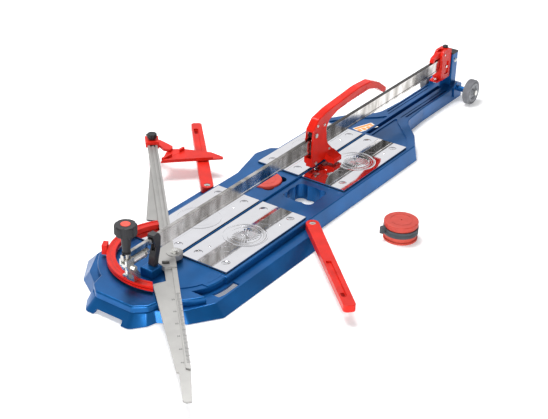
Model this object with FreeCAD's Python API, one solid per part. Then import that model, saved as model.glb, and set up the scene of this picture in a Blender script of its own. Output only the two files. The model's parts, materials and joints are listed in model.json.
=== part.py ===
import FreeCAD, Part
import math
import os

V = FreeCAD.Vector
X, Y, Z = V(1, 0, 0), V(0, 1, 0), V(0, 0, 1)

# ---------------------------------------------------------------- driving dimensions (mm)
# The model is laid out with x = 0 at the front edge of the front plates, y = 0 in the rail's
# middle plane and z = 0 on the floor. It is moved to the centre of its footprint when written.
PLATE_TOP = 52.0            # tile level: top of the plates
PLATE_T = 3.0               # mirror plate thickness
PAD_T = 5.0                 # dark pad under a plate
PLATE_IN = 5.5              # inner edge of a plate from the rail plane
PLATE_OUT = 143.0           # outer edge of a plate
FRONT_PLATE = (0.0, 345.0)  # start and end of the front plates
REAR_PLATE = (530.0, 866.0)
BED_FLOOR = 37.0            # floor of the beds that the plates lie in
BED_GAP = 1.2               # gap around a plate in its bed
HINGE_Y = 137.0             # hinge line of a plate
HINGE_Z = 40.6
HINGE_R = 2.0
HINGE_INSET = 40.0          # hinge lugs from the ends of a plate
MEDALLION_R = 58.0
DIMPLE_R = 9.0              # round marks near the corners of a plate
DIMPLE_DEPTH = 1.2

BODY_TOP = 46.7             # top of the cast base
BODY_HALF = 153.6           # half width of the base at its top edge
SKIRT_FLARE = 8.5           # how far the side wall leans out at the floor
BASE_BOTTOM = 2.0           # the casting stands on feet this high
WALL = 6.0                  # wall of the casting
WIDE_END = 899.0            # end of the wide part of the base
TAIL_HALF = 42.0            # half width of the narrow tail
TAIL_START = 1085.0
TAIL_END = 1402.0

LEDGE_TOP = 30.0            # top of the shelves that the support arms fold onto
LEDGE_HALF = 186.0
LEDGE_FOOT = 213.0
LEDGE_END = 352.0

PIVOT_X = -20.0             # gauge pivot, on the scoring line
HEAD_INNER_R = 150.0        # raised disc around the pivot
HEAD_OUTER_R = 188.0
HEAD_FRONT = -247.0
HEAD_FRONT_HALF = 56.0
PEDESTAL = (-128.0, -91.0, 18.0, 70.0)  # block under the front leg: ends, half width, top

RAIL_HALF = 5.5
RAIL_LOW = 108.5
RAIL_TOP = 148.5
RAIL_FRONT = -92.0
RAIL_END = 1352.0
LOCK_X = -196.0             # axis of the lock knob, through the rail's tongue
TONGUE_FRONT = -212.0
TONGUE_LOW = 133.5

POCKET_X = 456.0            # puck pockets, between the front and the rear plates
POCKET_Y = 65.0
POCKET_R = 47.5
POCKET_WALL = 61.5          # outer radius of the wall around a pocket
PUCK_R = 45.5
PUCK_H = 51.5               # a puck holds a tile's overhang at the plates' level
PUCK_STRAP_R = 46.5
PUCK_AT = (486.0, -348.0)   # the second puck stands on the floor beside the base

ARM_PIVOT = (333.0, 172.0)
ARM_LENGTH = 395.0          # pivot to tip
ARM_HALF = 17.5
ARM_LOW = 31.0
ARM_TOP = 49.5
ARM_REST = (46.5, 137.6)    # angle out from the folded position: near arm, far arm
SEAT_WALL = PLATE_OUT + 10.8  # inner wall of an arm's seat

GAUGE_ANGLE = 43.6          # gauge bar from the rail's direction
BAR_LOW = 53.0
BAR_TOP = 65.0
BAR_WIDE = 28.0
BAR_FAR = 672.0             # far end of the bar from the pivot
BAR_NEAR = 588.0
HUB_NEAR = 66.0
HUB_FAR = 84.0
HUB_TOP = 67.0
RING_OUT = 166.0
RING_IN = 144.0
RING_LOW = 53.0
RING_TOP = 66.0
RING_SUNK = 1.2             # depth of the scale face
POINTER_ANGLE = 119.5       # from the rail's direction
STOP_AT = 600.0             # lateral stop, along the bar from the pivot

POST = (1360.0, 1396.0, 20.0, 150.0)    # rear post: front, back, half width, top
CLAMP = (1300.0, 1357.0, 15.0, 176.0)   # clamp on the rail's end: front, back, half width, top

WHEEL_R = 40.0
WHEEL_T = 22.0
WHEEL_Y = {"near": -92.0, "far": 61.0}  # wheel centres
AXLE_X = 1366.0
AXLE_R = 6.0

ROLLER_R = 10.0
LOWER_ROLLER_R = 7.0
ROLLER_CLEAR = 0.05         # gap between a roller and the rail
ROLLER_X = (580.0, 630.0)
PIVOT_PIN_R = 4.0           # the upper front roller's axle is the lever's pivot
ROLLER_PIN_R = 3.0
SIDE_IN, SIDE_OUT = 6.0, 8.6    # carriage side plates
CHEEK_IN, CHEEK_OUT = 9.0, 13.0  # lever cheeks outside them
CUT_R = 11.0                # scoring wheel radius
CUT_X, CUT_Z = 612.0, 67.5  # its axle


# ---------------------------------------------------------------- helpers
def box(x0, x1, y0, y1, z0, z1):
    return Part.makeBox(x1 - x0, y1 - y0, z1 - z0, V(x0, y0, z0))


def cyl(r, h, at, axis=Z):
    return Part.makeCylinder(r, h, V(*at), axis)


def tube(r_out, r_in, h, at, axis=Z):
    return cyl(r_out, h, at, axis).cut(cyl(r_in, h, at, axis))


def cone(r0, r1, h, at, axis=Z):
    return Part.makeCone(r0, r1, h, V(*at), axis)


def wire(points, to3d=lambda a, b: V(a, b, 0)):
    """Closed wire through (a, b) or (a, b, corner radius) points; corners become arcs."""
    pts = [(p[0], p[1], p[2] if len(p) > 2 else 0.0) for p in points]
    n = len(pts)
    corners = []
    for i in range(n):
        ax, ay, _ = pts[i - 1]
        bx, by, r = pts[i]
        cx, cy, _ = pts[(i + 1) % n]
        if r <= 0:
            corners.append(((bx, by), None, (bx, by)))
            continue
        u = V(ax - bx, ay - by, 0)
        w = V(cx - bx, cy - by, 0)
        u.normalize()
        w.normalize()
        half = math.acos(max(-1.0, min(1.0, u.dot(w)))) / 2
        run = r / math.tan(half)
        mid = u + w
        mid.normalize()
        centre = V(bx, by, 0) + mid * (r / math.sin(half))
        top = centre - mid * r
        corners.append(((bx + u.x * run, by + u.y * run), (top.x, top.y),
                        (bx + w.x * run, by + w.y * run)))
    edges = []
    for i in range(n):
        start, mid, end = corners[i]
        if mid:
            edges.append(Part.Arc(to3d(*start), to3d(*mid), to3d(*end)).toShape())
        after = corners[(i + 1) % n][0]
        if (to3d(*after) - to3d(*end)).Length > 1e-6:
            edges.append(Part.LineSegment(to3d(*end), to3d(*after)).toShape())
    return Part.Wire(edges)


def prism(points, z0, z1):
    """Upright block of an XY outline."""
    face = Part.Face(wire(points, lambda a, b: V(a, b, z0)))
    return face.extrude(V(0, 0, z1 - z0))


def side_prism(points, y0, y1):
    """Block of an XZ outline, from y0 to y1."""
    face = Part.Face(wire(points, lambda a, b: V(a, y0, b)))
    return face.extrude(V(0, y1 - y0, 0))


def cross_prism(points, x0, x1):
    """Block of a YZ outline, from x0 to x1."""
    face = Part.Face(wire(points, lambda a, b: V(x0, a, b)))
    return face.extrude(V(x1 - x0, 0, 0))


def drafted(low, high, z0, z1):
    """Block whose outline changes from low at z0 to high at z1."""
    wires = [wire(low, lambda a, b: V(a, b, z0)), wire(high, lambda a, b: V(a, b, z1))]
    return Part.makeLoft(wires, True, True)


def fuse(shapes):
    shapes = list(shapes)
    return shapes[0].multiFuse(shapes[1:]).removeSplitter() if len(shapes) > 1 else shapes[0]


def cut(shape, tools):
    return shape.cut(Part.makeCompound(list(tools)))


def flip_y(shape):
    return shape.mirror(V(0, 0, 0), Y)


def both_sides(half):
    """Outline points for y < 0 going from front to back, completed for y > 0."""
    return half + [(p[0], -p[1]) + tuple(p[2:]) for p in reversed(half)]


def edges_at(shape, z, tol=0.01):
    return [e for e in shape.Edges
            if abs(e.BoundBox.ZMin - z) < tol and abs(e.BoundBox.ZMax - z) < tol]


def soften(shape, r, z):
    """Round every edge that lies at height z."""
    return shape.makeFillet(r, edges_at(shape, z))


def hexagon(width, h, at, axis=Z):
    """Hexagonal prism, width across flats."""
    r = width / math.sqrt(3)
    pts = [V(r * math.cos(math.radians(60 * i)), r * math.sin(math.radians(60 * i)), 0)
           for i in range(6)]
    solid = Part.Face(Part.makePolygon(pts + [pts[0]])).extrude(V(0, 0, h))
    solid.Placement = FreeCAD.Placement(V(*at), FreeCAD.Rotation(Z, axis))
    return solid


def hex_bolt(d, length, at, axis=Z):
    """Bolt whose head stands on the point at; the shank goes against axis."""
    back = V(*at) - axis * length
    head = hexagon(d * 1.7, d * 0.65, at, axis)
    washer = cyl(d * 1.1, 1.2, V(*at) - axis * 1.2, axis)
    return fuse([head, washer, cyl(d / 2, length, back, axis)])


def turned(shape, angle, at=(0, 0, 0), axis=Z):
    out = shape.copy()
    out.rotate(V(*at), axis, angle)
    return out


PARTS = {}


def add(name, shape):
    PARTS[name] = shape


# ---------------------------------------------------------------- cast base
def skirt_outline(inset, foot):
    """Outline of the low skirt: foot is 1 at the floor and 0 at the top of the shelves."""
    side = LEDGE_HALF + (LEDGE_FOOT - LEDGE_HALF) * foot - inset
    front = HEAD_FRONT - 26 * foot + inset
    grow = 10 * foot - inset
    half = [
        (front, -(HEAD_FRONT_HALF + grow), 18),
        (HEAD_FRONT + 20 - grow, -(84 + grow), 14),
        (HEAD_FRONT + 38 - grow * 0.4, -(90 + grow), 10),
        (HEAD_FRONT + 80 - grow * 0.7, -(147 + grow * 1.6), 22),
        (-96 - grow * 0.5, -side, 16),
        (-60, -side),
        (LEDGE_END - 24, -side, 18),
        (LEDGE_END - inset, -(BODY_HALF - inset)),
    ]
    return both_sides(half)


def body_outline(inset, foot):
    """Outline of the tall body, from under the head to the end of the tail."""
    side = BODY_HALF + SKIRT_FLARE * foot - inset
    tail = TAIL_HALF + 0.3 * foot - inset
    half = [
        (-12 + inset, -side),
        (WIDE_END + 2 * foot - inset, -side, 10),
        (WIDE_END + 60 - inset * 0.6, -(118 + SKIRT_FLARE * foot - inset * 0.8), 60),
        (TAIL_START - 50, -tail - 8, 70),
        (TAIL_START + 60, -tail),
        (TAIL_END + foot - inset, -tail, 6),
    ]
    return both_sides(half)


def head_outline(inset):
    """Raised front block of the head."""
    half = [
        (HEAD_FRONT + inset, -(HEAD_FRONT_HALF - inset), 18),
        (HEAD_FRONT + 24, -(84 - inset), 16),
        (HEAD_FRONT + 60, -(94 - inset)),
        (PIVOT_X, -(94 - inset)),
    ]
    return both_sides(half)


def base_outside():
    skirt = soften(drafted(skirt_outline(0, 1), skirt_outline(0, 0), BASE_BOTTOM, LEDGE_TOP),
                   3, LEDGE_TOP)
    body = soften(drafted(body_outline(0, 1), body_outline(0, 0), BASE_BOTTOM, BODY_TOP),
                  3, BODY_TOP)
    block = soften(prism(head_outline(0), BASE_BOTTOM, BODY_TOP), 5, BODY_TOP)
    disc = soften(cyl(HEAD_INNER_R, BODY_TOP - BASE_BOTTOM, (PIVOT_X, 0, BASE_BOTTOM)),
                  4, BODY_TOP)
    wide = cyl(HEAD_OUTER_R, BODY_TOP - BASE_BOTTOM, (PIVOT_X, 0, BASE_BOTTOM))
    wide = soften(wide.common(box(HEAD_FRONT, -108, -200, 200, 0, BODY_TOP)), 4, BODY_TOP)
    # lug on the far side of the body, beside the rear plates
    lug = [(430, 150), (575, 186, 22), (630, 172, 14), (646, 150)]
    lug = soften(prism(lug, 24, BODY_TOP), 3, BODY_TOP)
    return fuse([skirt, body, block, disc, wide, lug])


def base_inside():
    """Hollow of the casting, open at the bottom."""
    under = BASE_BOTTOM - 5
    skirt = drafted(skirt_outline(WALL, 1), skirt_outline(WALL, 0), under, LEDGE_TOP - WALL)
    body = drafted(body_outline(WALL, 1), body_outline(WALL, 0), under, BED_FLOOR - WALL)
    tail_cap = box(TAIL_END - 74, TAIL_END + 9, -TAIL_HALF, TAIL_HALF, 0, BODY_TOP)
    return cut(fuse([skirt, body]), [tail_cap])


def base_ribs():
    """Stiffening ribs inside the hollow."""
    ribs = [box(x - 3, x + 3, -BODY_HALF + 3, BODY_HALF - 3, 12, BED_FLOOR - 3)
            for x in (60, 172, 285, 370, 545, 650, 760, 880)]
    ribs.append(box(-150, 1330, -4, 4, 12, BED_FLOOR - 3))
    return ribs


def pocket_outline():
    """Round pocket with four finger notches."""
    shapes = [cyl(POCKET_R, BODY_TOP, (0, 0, 0))]
    for a in (45, 135, 225, 315):
        x = 42 * math.cos(math.radians(a))
        y = 42 * math.sin(math.radians(a))
        shapes.append(cyl(17, BODY_TOP, (x, y, 0)))
    return fuse(shapes)


def pockets():
    """Walls and hollows of the two puck pockets, which are open at the bottom."""
    walls, hollows = [], []
    for side in (-1, 1):
        at = (POCKET_X, side * POCKET_Y, BASE_BOTTOM)
        walls.append(cyl(POCKET_WALL, BED_FLOOR - BASE_BOTTOM, at))
        hollow = pocket_outline()
        hollow.translate(V(POCKET_X, side * POCKET_Y, 0))
        hollows.append(hollow)
    return walls, hollows


def bed(x0, x1):
    """One bed across the body for a pair of plates."""
    return box(x0 - BED_GAP, x1 + BED_GAP, -PLATE_OUT - BED_GAP, PLATE_OUT + BED_GAP,
               BED_FLOOR, BODY_TOP + 1)


def hinge_places():
    """Centre of every plate hinge lug."""
    return [(x, side * HINGE_Y) for x0, x1 in (FRONT_PLATE, REAR_PLATE)
            for x in (x0 + HINGE_INSET, x1 - HINGE_INSET) for side in (-1, 1)]


def hinge_bosses():
    """Small bosses on the bed's floor, beside each lug, that hold the hinge pins."""
    bosses = []
    for x, y in hinge_places():
        for x0 in (x - 16, x + 9.5):
            bosses.append(box(x0, x0 + 6.5, y - 5, y + 5, BED_FLOOR - 1, HINGE_Z + 2.6)
                          .cut(cyl(HINGE_R + 0.02, 60, (x - 30, y, HINGE_Z), X)))
    return bosses


def head_features():
    """Grooves and openings cut in the head and the shelves."""
    tools = []
    # arch under the front edge, between the two front feet
    arch = [(-42, -1), (-42, 12, 5), (42, 12, 5), (42, -1)]
    tools.append(cross_prism(arch, HEAD_FRONT - 30, HEAD_FRONT + 40))
    # circular groove under the protractor ring
    tools.append(tube(RING_OUT - 2, RING_IN - 10, 3, (PIVOT_X, 0, BODY_TOP - 2))
                 .common(box(-200, -70, -200, 200, 0, 60)))
    # crescent openings at the front end of each shelf
    crescent = tube(HEAD_INNER_R + 33, HEAD_INNER_R + 13, 60, (PIVOT_X, 0, 0))
    crescent = crescent.common(box(-72, 6, -180, -155, 0, 60))
    tools += [crescent, flip_y(crescent)]
    # circular scale line on the disc, in front of the plates
    tools.append(tube(HEAD_INNER_R - 12, HEAD_INNER_R - 13, 1, (PIVOT_X, 0, BODY_TOP - 0.5))
                 .common(box(-60, -4, -200, 200, 0, 60)))
    return tools


def tail_features():
    """Centre slot and long grooves in the top of the tail."""
    tools = [box(REAR_PLATE[1] + 20, TAIL_END - 74, -7, 7, BODY_TOP - 12, BODY_TOP + 1)]
    for side in (-1, 1):
        tools.append(box(TAIL_START - 42, TAIL_END - 110, side * 22 - 1.5, side * 22 + 1.5,
                         BODY_TOP - 4, BODY_TOP + 1))
        tools.append(box(TAIL_START - 30, TAIL_END - 90, side * 33 - 2.5, side * 33 + 2.5,
                         BODY_TOP - 7, BODY_TOP + 1))
    # sunk surfaces where the wide body narrows
    for side in (-1, 1):
        dish = [(REAR_PLATE[1] + 16, side * 14, 4), (REAR_PLATE[1] + 16, side * 136, 4),
                (WIDE_END - 6, side * 132, 8), (WIDE_END + 34, side * 106, 30),
                (TAIL_START - 80, side * 34, 30), (TAIL_START - 52, side * 14, 4)]
        tools.append(prism(dish, BODY_TOP - 3, BODY_TOP + 1))
    return tools


def arm_seats():
    """Bosses for the arm pivots, the holes for their bolts and the room for the folded arms."""
    bosses, holes = [], []
    seat_front = ARM_PIVOT[0] - ARM_LENGTH - 4
    seat_back = ARM_PIVOT[0] + ARM_HALF + 1.5
    for side in (-1, 1):
        at = (ARM_PIVOT[0], side * ARM_PIVOT[1])
        bosses.append(cyl(15, LEDGE_TOP - 8, (at[0], at[1], 8)))
        holes.append(cyl(4.25, 60, (at[0], at[1], 10)))
        holes.append(cyl(ARM_HALF + 1.5, 40, (at[0], at[1], LEDGE_TOP)))
        holes.append(prism([(seat_front, side * SEAT_WALL), (ARM_PIVOT[0], side * SEAT_WALL),
                            (seat_back, side * ARM_PIVOT[1]), (seat_back, side * 260),
                            (seat_front, side * 260)], LEDGE_TOP, 90))
    return bosses, holes


def base_casting():
    walls, hollows = pockets()
    bosses, arm_holes = arm_seats()
    outside = base_outside()
    shell = outside.cut(base_inside()).fuse(fuse(base_ribs() + walls + bosses).common(outside))
    shell = shell.fuse(cyl(16, BODY_TOP - 8, (PIVOT_X, 0, 8)))
    tools = [bed(*FRONT_PLATE), bed(*REAR_PLATE)] + hollows + arm_holes
    tools += head_features() + tail_features()
    tools.append(cyl(6.3, 60, (PIVOT_X, 0, 10)))
    tools.append(cyl(AXLE_R + 0.02, 120, (AXLE_X, -60, WHEEL_R), Y))
    # slot for the breaker rib between the plates
    tools.append(box(FRONT_PLATE[1], REAR_PLATE[0], -3.2, 3.2, BED_FLOOR, BODY_TOP + 1))
    shell = cut(shell, tools).fuse(hinge_bosses()).removeSplitter()
    # four lengths that meet face to face: two of them share the puck pockets
    ends = [-999, POCKET_X - POCKET_WALL - 5, POCKET_X, POCKET_X + POCKET_WALL + 5, 1999]
    lengths = [shell.common(box(x0, x1, -300, 300, -10, 100)) for x0, x1 in zip(ends, ends[1:])]
    add("base_casting", Part.makeCompound(lengths))


# ---------------------------------------------------------------- fixed parts on the base
def breaker_rib():
    rib = box(FRONT_PLATE[0] - 1, REAR_PLATE[1] + 1, -3, 3, BED_FLOOR, PLATE_TOP - 1.5)
    crest = cross_prism([(-3, PLATE_TOP - 1.5), (3, PLATE_TOP - 1.5), (0.6, PLATE_TOP + 0.2),
                         (-0.6, PLATE_TOP + 0.2)], FRONT_PLATE[0] - 1, REAR_PLATE[1] + 1)
    add("breaker_rib", fuse([rib, crest]))


def rubber_feet():
    spots = [(HEAD_FRONT + 8, 66), (-90, 196), (LEDGE_END - 40, 196), (WIDE_END - 12, 146),
             (TAIL_END - 60, 30)]
    feet = []
    for x, y in spots:
        for side in (-1, 1):
            feet.append(fuse([cyl(9, BASE_BOTTOM, (x, side * y, 0)),
                              cyl(6, 0.5, (x, side * y, BASE_BOTTOM))]))
    add("rubber_feet", Part.makeCompound([f.cut(PARTS["base_casting"]) for f in feet]))


def rail():
    """Flat bar with a shallow recess in each side, and a tongue at its front end."""
    flange = 6.0
    web = RAIL_HALF - 1.2
    half = [(RAIL_HALF, RAIL_LOW, 0.8), (RAIL_HALF, RAIL_LOW + flange),
            (web, RAIL_LOW + flange + 1.4), (web, RAIL_TOP - flange - 1.4),
            (RAIL_HALF, RAIL_TOP - flange), (RAIL_HALF, RAIL_TOP, 0.8)]
    mirrored = [(-p[0],) + tuple(p[1:]) for p in reversed(half)]
    bar = cross_prism(half + mirrored, RAIL_FRONT, RAIL_END)
    top = RAIL_TOP - 1.5
    tongue = box(TONGUE_FRONT, RAIL_FRONT + 1, -4.6, 4.6, TONGUE_LOW, top)
    tongue = tongue.fuse(cyl(9, top - TONGUE_LOW, (LOCK_X, 0, TONGUE_LOW)))
    tongue = tongue.cut(cyl(4.6, 40, (LOCK_X, 0, TONGUE_LOW - 5)))
    add("rail", fuse([bar, tongue]))


def front_parts():
    """Bracket, spacer, leg and its seat, which carry the front of the rail."""
    x0, x1, half, top = PEDESTAL
    add("leg_seat", soften(box(x0, x1, -half, half, BODY_TOP, top), 3, top))

    # bracket: two cheeks below the tongue, down to a shoe that lies over the ring
    shoe_low = RING_TOP + 0.3
    shoe_top = shoe_low + 6
    profile = [(-209, TONGUE_LOW - 0.1), (-183, TONGUE_LOW - 0.1), (-184, 112, 8), (-166, 86, 6),
               (-160, 76, 3), (-160, shoe_low), (-185, shoe_low), (-185, 84, 4), (-200, 100, 8),
               (-209, 118, 8)]
    cheek = side_prism(profile, -11, -5.2)
    bridge = box(-207, -186, -11, 11, 113, 121)
    shoe = box(-185, -160, -11, 11, shoe_low, shoe_top)
    ear = box(-182, -160, 10, 27, shoe_low, shoe_top)
    bracket = fuse([cheek, flip_y(cheek), bridge, shoe, ear])
    bracket = bracket.cut(cyl(5.2, 30, (LOCK_X, 0, 100)))
    add("front_bracket", bracket.cut(cyl(3.02, 20, (-171, 19, 60))))

    height = TONGUE_LOW - 13.2
    start = -182.4
    spacer = fuse([cyl(12, 40, (start, 0, height), X), cyl(5, 62, (start, 0, height), X),
                   cyl(12.8, 3, (start + 44, 0, height), X),
                   hexagon(19, 11, (start + 47, 0, height), X)])
    add("tie_spacer", spacer)

    # leg: saddle over the rail and a post down to the pedestal, in front of the gauge hub
    foot = PEDESTAL[3]
    leg = [(-112, RAIL_TOP + 6, 5), (-90, RAIL_TOP + 8.5, 6), (-82, RAIL_TOP - 5.5, 5),
           (-84, 112, 16), (-90, 90, 10), (-94, foot, 2), (-110, foot, 2), (-106, 95, 14),
           (-98, 118, 14), (-106, 136, 8)]
    notch = box(-130, -60, -RAIL_HALF, RAIL_HALF, RAIL_LOW, RAIL_TOP)
    passage = box(-130, RAIL_FRONT, -5, 5, TONGUE_LOW - 1, RAIL_TOP)
    add("front_leg", cut(side_prism(leg, -9, 9), [notch, passage]))


def base_bolts():
    """Bolts and nuts that fasten the bracket, the arms, the gauge and the post."""
    bolts = [hex_bolt(6, 5, (-171, 19, RING_TOP + 7.5))]
    for side in (-1, 1):
        nut = (LOCK_X + 12, side * 11, 104)
        bolts.append(fuse([hexagon(12, 5, nut, Y * side), cyl(7.5, 1.2, nut, Y * side)]))
        at = (ARM_PIVOT[0], side * ARM_PIVOT[1])
        bolts.append(fuse([cyl(4.2, 38, (at[0], at[1], 12)),
                           cyl(8.5, 2.5, (at[0], at[1], ARM_TOP - 3.5))]))
        rivet = (TAIL_END - 24, side * POST[2], 126)
        bolts.append(fuse([cyl(7, 1.2, rivet, Y * side), cyl(5, 4, rivet, Y * side)]))
    bolts.append(fuse([cyl(6.2, HUB_TOP - 11, (PIVOT_X, 0, 12)),
                       cyl(10, 1.6, (PIVOT_X, 0, HUB_TOP + 0.2)),
                       hexagon(13, 4, (PIVOT_X, 0, HUB_TOP + 1.8))]))
    add("base_bolts", Part.makeCompound(bolts))


def rear_parts():
    """Rear post, the clamp that holds the rail's end, its screws and the carriage catch."""
    x0, x1, half, top = POST
    outer = prism([(x0, -half, 3), (x1, -half, 3), (x1, half, 3), (x0, half, 3)], BODY_TOP, top)
    inner = box(x0 + 4, x1 - 4, -half + 4, half - 4, BODY_TOP - 1, top + 1)
    slot = box(x0 - 5, x0 + 5, -9, 9, 88, top + 1)
    add("rear_post", cut(outer, [inner, slot]))
    cap = prism([(x0 - 0.5, -half - 0.5, 3), (x1 + 0.5, -half - 0.5, 3), (x1 + 0.5, half + 0.5, 3),
                 (x0 - 0.5, half + 0.5, 3)], top + 0.05, top + 4)
    plug = box(x0 + 5.5, x1 - 4.2, -half + 4.2, half - 4.2, top - 12, top + 0.05)
    add("post_cap", fuse([cap.cut(box(x0 - 2, x0 + 5, -9.2, 9.2, 0, 300)), plug]))

    # clamp: a deep U around the rail's end, closed above and below
    front, back, half, top = CLAMP
    profile = [(front, 77, 4), (back, 77, 3), (back, top - 6, 4), (back - 12, top, 6),
               (front + 6, top, 8), (front - 4, top - 12, 5), (front - 4, RAIL_TOP + 2, 4),
               (front + 3, RAIL_TOP - 6, 6)]
    block = side_prism(profile, -half, half)
    slot = box(front - 9, back + 5, -RAIL_HALF, RAIL_HALF, RAIL_LOW, RAIL_TOP)
    side = side_prism([(front + 22, 92, 6), (back - 12, 92, 6), (back - 12, 136, 6),
                       (front + 22, 136, 6)], 11.5, 20)
    tongue = box(back - 1, x0 + 4, -8.8, 8.8, 92, POST[3] - 14)
    ear = side_prism([(front - 22, 77, 3), (front + 4, 77), (front + 4, 84), (front - 20, 84, 3)],
                     -13, 13)
    # room above the rail for the catch and its pin, open at the top so that the catch can lift
    hollow = box(front - 9, front + 24, -7, 7, RAIL_TOP + 2, top + 5)
    catch_pin = (front + 12, 0, 162)
    clamp = cut(fuse([block, tongue, ear]), [slot, side, flip_y(side), hollow])
    clamp = clamp.cut(cyl(3.02, 60, (catch_pin[0], -30, catch_pin[2]), Y))
    add("rear_clamp", cut(clamp, [cyl(3.95, 40, (back - 16, 0, RAIL_TOP + 6)),
                                  cyl(3.95, 40, (front - 10, 0, 70))]))

    screws = [fuse([cyl(3.9, top - RAIL_TOP - 8, (back - 16, 0, RAIL_TOP + 8)),
                    cyl(7, 6, (back - 16, 0, top))]),
              fuse([cyl(3.9, 12, (front - 10, 0, 73)), hexagon(11, 5, (front - 10, 0, 84))]),
              cyl(3.0, 2 * half + 6, (catch_pin[0], -half - 3, catch_pin[2]), Y)]
    screws += [cyl(4.5, 3, (back - 22, s * 11.5, 116), Y * s) for s in (-1, 1)]
    add("clamp_screws", Part.makeCompound(screws))

    # carriage catch: a hook in front of the clamp, hinged on the cross pin
    hook = [(front + 20, 156, 4), (front + 20, 168, 5), (front - 12, 173, 5), (front - 42, 164, 4),
            (front - 48, RAIL_TOP + 0.8, 2), (front - 38, RAIL_TOP + 0.8, 2),
            (front - 32, 156, 4), (front + 4, 156)]
    catch = side_prism(hook, -6.5, 6.5)
    add("carriage_catch", catch.cut(cyl(3.06, 40, (catch_pin[0], -20, catch_pin[2]), Y)))


def wheels():
    """Transport wheels on one axle through two brackets at the end of the tail."""
    brackets = []
    for side in (-1, 1):
        face = TAIL_HALF + 0.5
        plate = side_prism([(AXLE_X - 24, 12, 8), (AXLE_X + 20, 12, 8), (AXLE_X + 22, 52, 12),
                            (AXLE_X - 10, 62, 10), (AXLE_X - 27, 46, 8)], face, face + 4)
        plate = plate if side > 0 else flip_y(plate)
        wheel_face = abs(WHEEL_Y["far" if side > 0 else "near"]) - WHEEL_T / 2 - 1.4
        spacer = cyl(9, wheel_face - face, (AXLE_X, side * face, WHEEL_R), Y * side)
        brackets.append(fuse([plate, spacer]).cut(cyl(AXLE_R + 0.02, 300, (AXLE_X, -150, WHEEL_R), Y)))
    add("axle_brackets", Part.makeCompound(brackets))

    outer = WHEEL_T / 2 + 3
    ends = (WHEEL_Y["near"] - outer, WHEEL_Y["far"] + outer)
    axle = cyl(AXLE_R - 0.02, ends[1] - ends[0], (AXLE_X, ends[0], WHEEL_R), Y)
    nuts = [hexagon(16, 5, (AXLE_X, ends[0], WHEEL_R), Y * -1),
            hexagon(16, 5, (AXLE_X, ends[1], WHEEL_R), Y)]
    add("wheel_axle", fuse([axle] + nuts))

    rim_r = 27.0
    for name, centre in WHEEL_Y.items():
        side = -1 if centre < 0 else 1
        inner = centre - side * WHEEL_T / 2
        tyre = tube(WHEEL_R, rim_r, WHEEL_T, (AXLE_X, inner, WHEEL_R), Y * side)
        rim_edges = [e for e in tyre.Edges if abs(e.Length - 2 * math.pi * WHEEL_R) < 0.1]
        tyre = tyre.makeFillet(4, rim_edges)
        groove = tube(33.5, 31.5, 1.2, (AXLE_X, inner + side * (WHEEL_T - 1.1), WHEEL_R), Y * side)
        add("tyre_" + name, tyre.cut(groove))
        rim = cyl(rim_r - 0.02, WHEEL_T - 4, (AXLE_X, inner + side * 2, WHEEL_R), Y * side)
        dish = tube(22, 11, 5, (AXLE_X, inner + side * (WHEEL_T - 6), WHEEL_R), Y * side)
        hub = cyl(10, WHEEL_T + 2, (AXLE_X, inner - side * 1, WHEEL_R), Y * side)
        bore = cyl(AXLE_R + 0.03, 300, (AXLE_X, -150, WHEEL_R), Y)
        add("wheel_" + name, fuse([rim.cut(dish), hub]).cut(bore))


# ---------------------------------------------------------------- spring plates
def plates():
    """Mirror plates on dark pads, each hinged near its outer edge."""
    pins = []
    pad_low = PLATE_TOP - PLATE_T - PAD_T
    for row, (x0, x1) in (("front", FRONT_PLATE), ("rear", REAR_PLATE)):
        mid_x, mid_y = (x0 + x1) / 2, (PLATE_IN + PLATE_OUT) / 2
        sheet = box(x0, x1, PLATE_IN, PLATE_OUT, PLATE_TOP - PLATE_T, PLATE_TOP)
        rings = [tube(MEDALLION_R, MEDALLION_R - 2.5, 1, (mid_x, mid_y, PLATE_TOP - 0.5)),
                 tube(24, 23, 1, (mid_x, mid_y, PLATE_TOP - 0.4))]
        spans = [(x0 + 4, mid_x - MEDALLION_R - 2), (mid_x + MEDALLION_R + 2, x1 - 4)]
        lines = [box(a, b, mid_y + s * 24 - 0.4, mid_y + s * 24 + 0.4, PLATE_TOP - 0.3,
                     PLATE_TOP + 1) for a, b in spans for s in (-1, 1)]
        sheet = cut(sheet, rings + lines + dimples(x0, x1))
        pad = box(x0 + 2, x1 - 2, PLATE_IN + 1.5, PLATE_OUT - 1.5, pad_low, PLATE_TOP - PLATE_T)
        lugs = [box(x - 9, x + 9, HINGE_Y - 5, HINGE_Y + 4.5, BED_FLOOR + 0.5, pad_low)
                for x in (x0 + HINGE_INSET, x1 - HINGE_INSET)]
        pad = fuse([pad] + lugs).cut(cyl(HINGE_R + 0.05, x1 - x0 + 20, (x0 - 10, HINGE_Y, HINGE_Z), X))
        pad = cut(pad, [cyl(9, 3.1, (x, y, pad_low - 0.1)) for x, y in spring_spots(x0, x1)])
        add("plate_%s_near" % row, flip_y(sheet))
        add("plate_%s_far" % row, sheet)
        add("pad_%s_near" % row, flip_y(pad))
        add("pad_%s_far" % row, pad)
    for x, y in hinge_places():
        pins.append(cyl(HINGE_R, 32, (x - 16, y, HINGE_Z), X))
    add("plate_pins", Part.makeCompound(pins))


def dimples(x0, x1):
    """Balls that press a round mark into each corner of a plate."""
    ball = (DIMPLE_R ** 2 + DIMPLE_DEPTH ** 2) / (2 * DIMPLE_DEPTH)
    return [Part.makeSphere(ball, V(x, y, PLATE_TOP - DIMPLE_DEPTH + ball))
            for x in (x0 + 34, x1 - 34) for y in (PLATE_IN + 26, PLATE_OUT - 26)]


def spring_spots(x0, x1):
    return [(x, y) for x in (x0 + 45, x1 - 45) for y in (34.0, 108.0)]


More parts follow.
